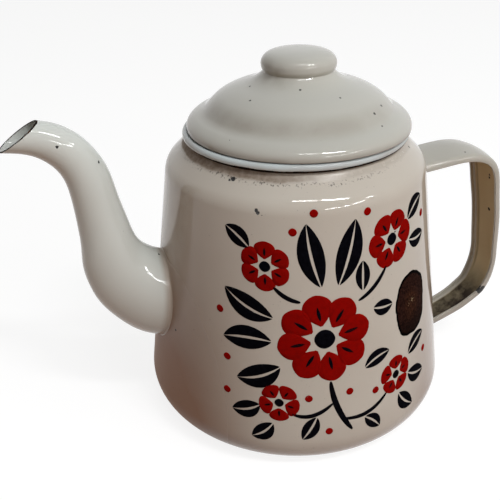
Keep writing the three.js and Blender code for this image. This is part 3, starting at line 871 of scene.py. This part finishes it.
class TEAPOT_OT_spout(bpy.types.Operator):
    """Swan-neck spout: one hollow swept surface with a fillet at its root and a bare rim at its mouth"""
    bl_idname = "teapot.spout"
    bl_label = "Spout"

    def execute(self, context):
        pot, spout = context.scene.teapot_pot, context.scene.teapot_spout
        rise = bead_height(pot) + pot.bead_radius + spout.above_rim - spout.height
        root_x = side_radius(pot, spout.height)
        shares = smooth_line(SPOUT_ROUTE_SHARES, count=700, blur=0.011)
        route_x, route_z = -root_x - shares[:, 0] * spout.reach, spout.height + shares[:, 1] * rise
        route = np.stack([route_x, 0 * route_x, route_z], 1)
        upright = np.cross(ACROSS, directions(route))
        mouth_x, mouth_z = SPOUT_MOUTH_SHARES
        mouth = np.array([-root_x - mouth_x * spout.reach, 0, spout.height + mouth_z * rise])
        mouth_way = np.array([-math.sin(spout.mouth_tilt), 0, math.cos(spout.mouth_tilt)])
        tall = spout.tip_radius + shares[:, 2] * (spout.root_half_height - spout.tip_radius)
        wide = spout.tip_radius + shares[:, 2] * (spout.root_half_width - spout.tip_radius)
        # Shares of the way from the root to the mouth, carried on a little beyond both
        step = np.linspace(-0.12, 1.1, 500)
        a = circle(128)

        def outline(side):
            """One outline in the pot's plane, evenly spaced by its share of the way from the root to the
            mouth, and straight inside the pot."""
            line = route + side * upright * tall[:, None]
            root = np.where(side_distance(pot, line) < 0)[0][-1] + 1
            end = root + np.argmax((line[root:] - mouth) @ mouth_way > 0)
            distance = along(line[root:])
            share = distance / distance[end - root]
            data = np.column_stack([line[root:], wide[root:]])
            even = np.stack([np.interp(np.clip(step, 0, None), share, data[:, k]) for k in range(4)], 1)
            # The slope over two dozen steps ahead carries the line on into the pot
            first = np.searchsorted(step, 0)
            ahead = first + 24
            slope = (even[ahead] - even[first]) / (step[ahead] - step[first])
            even[:first] = even[first] + slope * (step[:first] - step[first])[:, None]
            return blurred(even, 11)

        top, under = outline(1), outline(-1)
        centre, half_wide = (top + under)[:, :3] / 2, (top + under)[:, 3] / 2
        middle_up = (top - under)[:, :3] / 2
        half_tall = np.linalg.norm(middle_up, axis=1)
        middle_up /= half_tall[:, None]

        def sweep(inset):
            """Oval rings: the middle plus across times half width times cosine plus the slanted height
            times sine."""
            flat = ACROSS * ((half_wide - inset)[:, None, None] * np.cos(a)[None, :, None])
            return centre[:, None] + flat + middle_up[:, None] * (
                (half_tall - inset)[:, None, None] * np.sin(a)[None, :, None])

        def trimmed(rings, sink, crowd, rows):
            """The part of the rings from a little inside the pot's side to the mouth's plane, in rows that
            crowd towards both ends, and the middles that belong to it."""
            start = crossing(side_distance(pot, rings) + sink)
            stop = crossing((rings - mouth) @ mouth_way, len(rings) // 2)
            share = crowded(rows, crowd)
            middles = np.broadcast_to(centre[:, None], rings.shape)
            return rows_between(rings, start, stop, share), rows_between(middles, start, stop, share)

        outer, middles = trimmed(sweep(0 * step), sink=0.25 * MM, crowd=0.86, rows=230)
        outer = flare(pot, outer, middles, spout.root_fillet)
        thin_start, thin_run = 0.84, 0.12
        wall = pot.wall + (spout.mouth_wall - pot.wall) * np.clip((step - thin_start) / thin_run, 0, 1)
        inner, _ = trimmed(sweep(wall), sink=0.3 * MM, crowd=0.6, rows=80)
        inner = inner[::-1]
        turn = np.linspace(0, math.pi, 9)[1:-1, None, None]
        rim_rise = mouth_way * (0.25 * MM * np.sin(turn))
        rim = (outer[-1] + inner[0]) / 2 + (outer[-1] - inner[0]) / 2 * np.cos(turn) + rim_rise
        rings = np.vstack([outer, rim, inner])
        faces = grid_faces(len(rings), len(a), wrap_rows=True, wrap_columns=True)
        piece = put_mesh("swan_neck_spout", rings, faces)
        # Reach of the brown and painted shade at the spout's root
        root_smoke_and_shade_reach = 4 * MM
        keep_values(piece, "root", np.clip(1 - side_distance(pot, rings) / root_smoke_and_shade_reach, 0, 1))
        # The glaze has gone from the rim down to a ragged line a fraction of a millimetre below it
        ragged = (0.22 + wavy(a, (0.12, 1, 0.6), (0.08, 3, 1), (0.06, 11, 0))) * MM
        index = np.full((len(rings), len(a)), WHITE)
        index[:len(outer)] = np.where(np.linalg.norm(outer - outer[-1], axis=2) < ragged, BARE, CREAM)
        index[len(outer):len(outer) + len(rim)] = BARE
        dress(piece, ["cream_enamel_spout", "white_enamel_lining", "bare_iron_edge"], index)
        finish_piece(piece, "pot", ("spout_left_half", "spout_right_half"))
        return {"FINISHED"}


class TEAPOT_OT_handle(bpy.types.Operator):
    """Handle: a channel pressed from one strip, swept round its route and narrower at the foot"""
    bl_idname = "teapot.handle"
    bl_label = "Handle"

    def execute(self, context):
        pot, handle = context.scene.teapot_pot, context.scene.teapot_handle
        span = pot.side_height - handle.drop - handle.foot_height
        shares = smooth_line(HANDLE_ROUTE_SHARES, count=800, blur=0.014)
        z = handle.foot_height + shares[:, 1] * span
        centre = np.stack([side_radius(pot, z) + shares[:, 0] * handle.reach, 0 * z, z], 1)
        out = np.cross(directions(centre), ACROSS)
        half, edge, crown, wall = handle.top_width / 2, handle.edge_radius, handle.crown, pot.wall
        bow = np.linspace(1, 0, 12)
        web = np.stack([bow * (half - edge), -crown * bow ** 2], 1)
        bend = arc(half - edge, -crown - edge, edge, 0, math.pi / 2, 10)
        right = linked([[(half, -handle.depth)], bend, web[1:]], [3, 0])
        face = np.vstack([right, (right * [-1, 1])[-2::-1]])
        loop = np.vstack([face, beside(face, wall)[::-1]])
        rings = self.sweep(handle, centre, out, loop, half, half - edge - wall)
        sink = 0.35 * MM
        gap = side_distance(pot, rings) + sink
        start, stop = crossing(gap), len(shares) - 1 - crossing(gap[::-1])
        rings = rows_between(rings, start, stop, crowded(count=340, crowd=0.09))
        columns, n = len(loop), len(face)
        faces = grid_faces(len(rings), columns, wrap_columns=True)
        i = np.arange(n - 1)
        caps = np.stack([i, i + 1, columns - 2 - i, columns - 1 - i], 1)
        last = (len(rings) - 1) * columns
        faces += caps.tolist() + (caps[:, ::-1] + last).tolist()
        piece = put_mesh("channel_handle", rings, faces)
        # The inner face counts as hollow, and its two lips by about half
        hollow = np.where(np.arange(columns) < n, 0.0, 1.0)
        hollow[[n, columns - 1]] = 0.55
        keep_values(piece, "hollow", np.tile(hollow, len(rings)))
        keep_values(piece, "across", np.tile(np.clip(loop[:, 0] / (half - wall), -1, 1), len(rings)))
        dress(piece, ["cream_enamel_handle"])
        soften = piece.modifiers.new("rolled edges", "BEVEL")
        soften.width, soften.segments = 0.5 * MM, 4
        soften.limit_method, soften.angle_limit = "ANGLE", math.radians(50)
        finish_piece(piece, "pot", ("handle_strap",))
        return {"FINISHED"}

    def sweep(self, handle, centre, out, loop, half, flat):
        """Rings of the strip's section along the route. The section's flat middle narrows towards the foot
        and its bends keep their shape, and its depth grows in the lower run."""
        t = np.linspace(0, 1, len(centre))[:, None]
        width = handle.top_width + (handle.foot_width - handle.top_width) * eased(t)
        x = loop[:, 0]
        wide = np.where(np.abs(x) < flat, x * (width / 2 - half + flat) / flat,
                        np.sign(x) * (width / 2 - half + np.abs(x)))
        low = np.clip((handle.foot_height + handle.deepening - centre[:, 2]) / (handle.deepening / 2), 0, 1)
        deep = (1 + (handle.foot_depth / handle.depth - 1) * eased(low))[:, None] * loop[:, 1]
        return centre[:, None] + ACROSS * wide[..., None] + out[:, None] * deep[..., None]


class TEAPOT_OT_lid(bpy.types.Operator):
    """Lid: drawn dome with a rolled rim, and the collar that drops into the mouth"""
    bl_idname = "teapot.lid"
    bl_label = "Lid"

    def execute(self, context):
        pot, lid = context.scene.teapot_pot, context.scene.teapot_lid
        seat, columns = seat_height(pot, lid), 288
        outer = dome_line(lid)
        inner = beside(outer, -pot.wall)
        inner[-1, 1] = outer[-1, 1] = 0.25 * MM
        # The lower edge is rounded off by two points on either side of the sheet, as inset and height
        edge = [(lid.radius - x * MM, z * MM) for x, z in ((0.12, 0.05), (0.35, 0.0))]
        edge += [(lid.radius - pot.wall + x * MM, z * MM) for x, z in ((0.35, 0.0), (0.1, 0.05))]
        profile = np.vstack([outer, edge, inner[::-1]]) + [0, seat]
        piece = turned("domed_lid", profile, columns, middle=(lid.play, 0))
        row = np.arange(len(profile))
        index = np.where(row < len(outer) - 2, CREAM, np.where(row < len(outer) + 3, BARE, WHITE))
        dress(piece, ["cream_enamel_lid", "white_enamel_lining", "bare_iron_edge"], np.repeat(index, columns))
        finish_piece(piece, "lid", ("lid_dome",))

        radius = pot.mouth_radius - lid.play - lid.slack
        top = np.interp(radius, inner[:, 0], inner[:, 1]) - lid.gap
        bend, foot = lid.collar_bend, top - lid.collar_depth
        line = linked([[(radius - bend / 2, foot - bend)], [(radius, foot)],
                       arc(radius - bend, top - bend, bend, 0, math.pi / 2, 10),
                       [(radius - bend - lid.collar_flange, top)]], [2, 8, 4])
        profile = np.vstack([line, beside(line, pot.wall)[::-1]]) + [0, seat]
        collar = turned("lid_collar_ring", profile, columns=256, middle=(lid.play, 0))
        dress(collar, ["white_enamel_lining"])
        finish_piece(collar, "lid", ("lid_collar",))
        return {"FINISHED"}


class TEAPOT_OT_knob(bpy.types.Operator):
    """Knob: a flat hollow ball whose foot runs out onto the lid"""
    bl_idname = "teapot.knob"
    bl_label = "Knob"

    def execute(self, context):
        pot, lid = context.scene.teapot_pot, context.scene.teapot_lid
        foot, height = seat_height(pot, lid) + lid.dome_height + lid.gap, lid.knob_height
        bulge = lid.knob_radius - lid.knob_foot
        side = [(lid.knob_foot + x * bulge, z * height) for x, z in KNOB_SIDE_SHARES]
        top = [(x * lid.knob_radius, z * height) for x, z in KNOB_TOP_SHARES]
        line = smooth_line(side + top, count=90, blur=0.03)
        line[-1, 0] = 0
        # The enamel's run lies just under the dome's face at its toe and climbs to the knob's foot
        dome, toe = dome_line(lid), lid.knob_foot + lid.knob_spread
        sunk = 0.004 * MM
        share = np.linspace(0, 1, 60)[:-1]
        r = toe - (toe - line[0, 0]) * share
        ground = np.interp(np.append(r, line[0, 0]), dome[:, 0], dome[:, 1])
        ground -= lid.dome_height + lid.gap + sunk
        climb = sum(part * share ** power for part, power in KNOB_SPREAD_CLIMB)
        spread = np.stack([r, ground[:-1] + (line[0, 1] - ground[-1]) * climb], 1)
        inner = beside(line, pot.wall)
        inner[-1] = (0, line[-1, 1] - pot.wall)
        under = [(toe - 0.3 * MM, ground[0] - 0.1 * MM), (inner[0, 0] + 0.2 * MM, ground[-1] - 0.3 * MM)]
        profile = np.vstack([line[::-1], spread[::-1], under, inner]) + [0, foot]
        piece = turned("ball_knob", profile, columns=192, middle=(lid.play, 0))
        dress(piece, ["cream_enamel_lid"])
        finish_piece(piece, "lid", ("knob",))
        return {"FINISHED"}


# Painted ornament, in millimetres across the front and up. Blossoms have a middle, a radius, petals and a
# turn, stems three points that steer a curve and a width, leaves a base, a tip, a width and a bend, and
# berries a middle.
BLOSSOMS = [
    ((-8, 62), 19, 8, 0.2), ((-30, 92), 10, 6, 0.5), ((22, 97), 11.5, 6, 0.1), ((-27, 34), 8.5, 5, 0.9),
    ((25, 37), 8.5, 5, 0.3)]
STEMS = [
    ([(-6, 43), (-5, 30), (3, 19)], 2.6), ([(-17, 78), (-23, 79), (-27, 84)], 1.9),
    ([(6, 76), (14, 79), (19, 87)], 1.9), ([(-5, 33), (-14, 25), (-22, 29)], 1.9),
    ([(-1, 25), (11, 22), (20, 31)], 1.9)]
LEAVES = [
    ((-9, 84), (-14, 109), 10, 2), ((-2, 84), (5, 109), 10, -2), ((-28, 71), (-47, 81), 10, 3),
    ((-29, 61), (-49, 60), 10, -2), ((-26, 50), (-44, 43), 10, 3), ((13, 71), (22.5, 70), 6.5, -1),
    ((9, 46), (21, 50), 6.5, 2), ((8, 80), (8, 92), 6, 0), ((-36, 99), (-45, 106), 7, -1),
    ((32, 102), (43, 108), 7.5, 2), ((33, 93), (45, 92), 7, -2), ((-35, 32), (-47, 28), 7.5, 2),
    ((-30, 24), (-39, 17), 7, 2), ((33, 34), (45, 30), 7.5, -2), ((27, 27), (36, 18), 7, -2),
    ((33, 43), (45, 48), 7, 2), ((-12, 27), (-18, 17), 6.5, 1), ((9, 23), (16, 16.5), 6, 1)]
BERRIES = [
    (-19, 106), (-11, 113), (10, 111), (-50, 71), (-48, 51), (-49, 36), (14, 34), (-15, 36), (44, 100),
    (2, 37), (46, 39), (-7, 20)]
BERRY_RADIUS = 1.6
# Height of a stroke or chip over the glaze, and of its outer edge, which dips under it
LIFT, DIP = 0.05, -0.06


def stroke(spine, width, power=0.5, lean=0.0, count=26):
    """A brush stroke: a curve from the first of three points to the last that leans towards the second,
    with a half width that follows the sine of its length to a power. Its columns hold the places across
    and up and the lift over the glaze."""
    t = np.linspace(0, 1, count)
    p, u = np.asarray(spine, float), t[:, None]
    line = (1 - u) ** 2 * p[0] + 2 * u * (1 - u) * p[1] + u ** 2 * p[2]
    blunt = 0.004
    half = width / 2 * np.sin(np.pi * np.clip(t ** (1 + lean), blunt, 1 - blunt)) ** power
    x = np.array([-1, -0.97, -0.5, 0, 0.5, 0.97, 1])
    lift = np.where(np.abs(x) < 1, LIFT, DIP)
    flat = line[:, None] + left_of(directions(line))[:, None] * (half[:, None] * x)[..., None]
    return np.concatenate([flat, np.broadcast_to(lift[None, :, None], flat.shape[:2] + (1,))], -1)


def leaf(base, tip, width, bend):
    """A leaf in two halves with a bare midrib between them."""
    base, tip = np.array(base, float), np.array(tip, float)
    left = np.array([-(tip - base)[1], (tip - base)[0]]) / np.linalg.norm(tip - base)
    middle = (base + tip) / 2 + left * bend
    # Half width of the midrib at the base, in the middle and at the tip
    at_base, at_middle, at_tip = 0.3, 0.4, 0.15
    halves = []
    for side in (left, -left):
        spine = [base + side * at_base, middle + side * (width / 2 + at_middle), tip + side * at_tip]
        halves.append(stroke(spine, 0.46 * width, power=0.75))
    return halves


def blossom(middle, radius, petals, turn):
    """Petals round a dark eye, as red and navy strokes: each petal is a wide stroke that points outwards,
    with a thin dark one on it."""
    middle, red, navy = np.array(middle, float), [], []
    # Shares of the room for a petal that the petal and its mark take up, and the eye's share of the radius
    filled, marked, eye = 0.83, 0.12, 0.22
    width = 2 * radius * math.sin(math.pi / petals) * filled
    for k in range(petals):
        a = turn + 2 * math.pi * k / petals
        ray = radius * np.array([math.cos(a), math.sin(a)])
        red.append(stroke([middle + ray * share for share in (0.3, 0.65, 1)], width, power=0.55, lean=0.35))
        navy.append(stroke([middle + ray * share for share in (0.42, 0.55, 0.74)], width * marked, power=0.7))
    return red, navy + [dot(middle, radius * eye, count=26)]


def dot(middle, radius, count):
    """A round dot as one short wide stroke."""
    reach = np.array([radius, 0])
    return stroke([middle - reach, middle, middle + reach], 2 * radius, count=count)


class TEAPOT_OT_flowers(bpy.types.Operator):
    """Painted flowers on the side: red blossoms and blue-black leaves, printed flush on the glaze"""
    bl_idname = "teapot.flowers"
    bl_label = "Painted flowers"

    def execute(self, context):
        pot = context.scene.teapot_pot
        red, navy = [], []
        for values in BLOSSOMS:
            petals, darks = blossom(*values)
            red += petals
            navy += darks
        navy += [stroke(spine, width, power=0.3) for spine, width in STEMS]
        for values in LEAVES:
            navy += leaf(*values)
        red += [dot(np.array(middle), BERRY_RADIUS, count=16) for middle in BERRIES]
        for name, strokes, material in (("painted_red_flowers", red, "red_print_under_glaze"),
                                        ("painted_navy_leaves", navy, "navy_print_under_glaze")):
            points, faces, offset = [], [], 0
            for flat in strokes:
                points.append(on_side(pot, flat[..., 0], flat[..., 1], flat[..., 2]).reshape(-1, 3))
                faces += grid_faces(*flat.shape[:2], offset=offset)
                offset += len(points[-1])
            finish_patch(put_mesh(name, np.vstack(points), faces), material)
        return {"FINISHED"}


# Middle of the big chip across the front and up, and its reach in twelve even directions, in millimetres
CHIP_MIDDLE = (35.0, 64.5)
CHIP_REACHES = [11.3, 12.6, 13.8, 15.1, 14.6, 12.1, 10.7, 11.0, 13.3, 13.9, 14.5, 13.0]


class TEAPOT_OT_chip(bpy.types.Operator):
    """Big chip halfway up the side, where the enamel has come off the iron"""
    bl_idname = "teapot.chip"
    bl_label = "Big chip"

    def execute(self, context):
        """A flush patch on the side: the middle plus a share of the reach, which is a smooth closed curve
        through the twelve reaches with a ragged edge, times the cosine and sine of the angle."""
        pot = context.scene.teapot_pot
        columns, rows = 144, 40
        a = circle(columns)
        reach = np.fft.irfft(np.fft.rfft(CHIP_REACHES), columns) * columns / len(CHIP_REACHES)
        reach += wavy(a, (0.12, 9, 1), (0.08, 17, 0), (0.05, 31, 0))
        heart, rim = 0.02, 0.97
        share = np.linspace(heart, 1, rows)[:, None]
        across = CHIP_MIDDLE[0] + share * reach * np.cos(a)
        up = CHIP_MIDDLE[1] + share * reach * np.sin(a)
        points = on_side(pot, across, up, np.where(share < rim, LIFT, DIP))
        faces = grid_faces(rows, columns, wrap_columns=True) + [list(range(columns - 1, -1, -1))]
        piece = put_mesh("bare_iron_chip", points, faces)
        keep_values(piece, "share", np.repeat(share, columns))
        finish_patch(piece, "chipped_iron")
        return {"FINISHED"}


# Tube lamps, which give the broken streaks: start, stop, width and power, in metres and watts
TUBES = [
    ((-0.2, -0.51, 1.0), (0.075, -0.56, 1.0), 0.07, 1.2),
    ((0.135, -0.57, 1.0), (0.49, -0.67, 1.0), 0.07, 4.4),
    ((0.27, -2.45, 1.0), (0.8, -2.28, 1.0), 0.08, 4.0), ((0.9, -2.2, 1.0), (1.02, -2.02, 1.0), 0.08, 1.7),
    ((1.1, -1.82, 1.0), (1.27, -1.42, 1.0), 0.08, 3.5),
    ((1.08, -0.99, 1.0), (1.25, -0.9, 1.0), 0.06, 1.3)]
LAMP_AIM = (0, 0, 0.08)


def stand(thing, axes, place):
    """Stands an object at a place with its own axes along the given ones."""
    matrix = np.eye(4)
    matrix[:3, :3] = np.stack(axes, 1)
    matrix[:3, 3] = place
    thing.matrix_world = Matrix(matrix.tolist())
    bpy.context.scene.collection.objects.link(thing)


class TEAPOT_OT_stage(bpy.types.Operator):
    """Pale floor, white background, soft lamps and the camera at the photograph's angle"""
    bl_idname = "teapot.stage"
    bl_label = "Stage"

    def execute(self, context):
        scene = context.scene
        scene.view_settings.view_transform = "Standard"
        self.camera(scene)
        self.floor()
        self.world(scene)
        # The broad lamp lights without a reflection of its own
        self.lamp("broad_lamp", (1.1, -0.95, 0.75), (0.8, 0.8), 1.6, (1, 1, 0)).visible_glossy = False
        for k, (start, stop, width, power) in enumerate(TUBES):
            a, b = np.array(start, float), np.array(stop, float)
            self.lamp(f"tube_{k}", (a + b) / 2, (float(np.linalg.norm(b - a)), width), power, b - a)
        return {"FINISHED"}

    def camera(self, scene):
        """Camera that looks along its azimuth and elevation, rolled and moved sideways until the frame
        fits. Its distance and its moves are counted in base radii of the pot."""
        azimuth, elevation, roll = (math.radians(v) for v in (-16.0, 28.3108, -1.3902))
        base = 68 * MM
        distance, side, up = (v * base for v in (5.4003, -0.3155, 0.8862))
        sin_a, cos_a = math.sin(azimuth), math.cos(azimuth)
        sin_e, cos_e = math.sin(elevation), math.cos(elevation)
        back = np.array([sin_a * cos_e, -cos_a * cos_e, sin_e])
        level = np.array([cos_a, sin_a, 0.0])
        upright = np.cross(back, level)
        right = level * math.cos(roll) + upright * math.sin(roll)
        above = upright * math.cos(roll) - level * math.sin(roll)
        data = bpy.data.cameras.new("camera")
        data.sensor_width, data.lens, data.clip_start = 36, 52.756, 0.01
        scene.camera = bpy.data.objects.new("camera", data)
        stand(scene.camera, (right, above, back), right * side + above * up + back * distance)

    def floor(self):
        """Wide pale floor: it shows almost white to the camera and keeps the pot's shadow, and throws back
        a little warm light."""
        x = np.linspace(-6, 6, 3)
        points = np.stack(np.broadcast_arrays(x[None, :], x[:, None], 0.0), -1)
        floor = put_mesh("floor", points, grid_faces(3, 3), smooth=False)
        material, tree = new_material("pale_floor")
        seen = self.seen(tree)
        diffuse = add(tree, "BsdfDiffuse", {"Color": blend(tree, seen, linear("#93633a"), linear("#f4f4f4"))})
        glow = add(tree, "Emission", {"Color": (1, 1, 1, 1), "Strength": 1.19})
        surface = add(tree, "MixShader", {0: combine(tree, "MULTIPLY", seen, 0.7), 1: diffuse, 2: glow})
        add(tree, "OutputMaterial", {"Surface": surface})
        floor.data.materials.append(material)

    def world(self, scene):
        """White to the camera and to reflections. To the rest it is a soft room, bright at the front right
        and dim brown at the left."""
        world = bpy.data.worlds.new("room")
        world.use_nodes = True
        tree = world.node_tree
        tree.nodes.clear()
        way = add(tree, "TexCoord", out="Generated")
        level = ramp(tree, toward(tree, way, (0.48, -0.68, 0.55)), (-0.8, 1.0))
        height = ramp(tree, add(tree, "SeparateXYZ", {0: way}, "Z"), (-0.1, 0.5))
        bright = blend(tree, height, linear("#aa8c70"), linear("#939b9f"))
        room = blend(tree, level, linear("#756658"), bright)
        tone = blend(tree, self.seen(tree), room, (1, 1, 1, 1))
        light = add(tree, "Background", {"Color": tone, "Strength": 1.0})
        add(tree, "OutputWorld", {"Surface": light})
        scene.world = world

    def seen(self, tree):
        """One for rays that show the background: from the camera, off a gloss or through glass."""
        path = add(tree, "LightPath").node
        kinds = ("Camera", "Glossy", "Transmission")
        return largest(tree, [path.outputs[f"Is {kind} Ray"] for kind in kinds])

    def lamp(self, name, place, size, power, along_way):
        """A white rectangular lamp that faces the pot, its long side as near as may be to a given
        direction."""
        data = bpy.data.lights.new(name, "AREA")
        data.shape, data.energy = "RECTANGLE", power
        data.size, data.size_y = size
        back = np.array(place, float) - LAMP_AIM
        back /= np.linalg.norm(back)
        right = np.array(along_way, float)
        right -= back * np.dot(right, back)
        right /= np.linalg.norm(right)
        lamp = bpy.data.objects.new(name, data)
        stand(lamp, (right, np.cross(back, right), back), place)
        return lamp


GROUPS = {
    "teapot_pot": TeapotPotSizes, "teapot_spout": TeapotSpoutSizes, "teapot_handle": TeapotHandleSizes,
    "teapot_lid": TeapotLidSizes, "teapot_colours": TeapotColours}
STEPS = [
    TEAPOT_OT_stage, TEAPOT_OT_body, TEAPOT_OT_spout, TEAPOT_OT_handle, TEAPOT_OT_lid, TEAPOT_OT_knob,
    TEAPOT_OT_flowers, TEAPOT_OT_chip]


class TEAPOT_PT_panel(bpy.types.Panel):
    """Sidebar panel with the teapot's sizes, colours and steps"""
    bl_label = "Enamelled Teapot"
    bl_idname = "TEAPOT_PT_panel"
    bl_space_type = "VIEW_3D"
    bl_region_type = "UI"
    bl_category = "Teapot"

    def draw(self, context):
        for step in STEPS:
            self.layout.operator(step.bl_idname)
        for key in GROUPS:
            box = self.layout.box()
            group = getattr(context.scene, key)
            for name in group.bl_rna.properties.keys():
                if name not in ("rna_type", "name"):
                    box.prop(group, name)


def register():
    for group in GROUPS.values():
        bpy.utils.register_class(group)
    for key, group in GROUPS.items():
        setattr(bpy.types.Scene, key, bpy.props.PointerProperty(type=group))
    for step in STEPS + [TEAPOT_PT_panel]:
        bpy.utils.register_class(step)


def unregister():
    for step in [TEAPOT_PT_panel] + STEPS[::-1]:
        bpy.utils.unregister_class(step)
    for key, group in GROUPS.items():
        delattr(bpy.types.Scene, key)
        bpy.utils.unregister_class(group)


def main():
    """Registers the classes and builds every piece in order."""
    register()
    for step in STEPS:
        space, name = step.bl_idname.split(".")
        getattr(getattr(bpy.ops, space), name)()


if __name__ == "__main__":
    main()
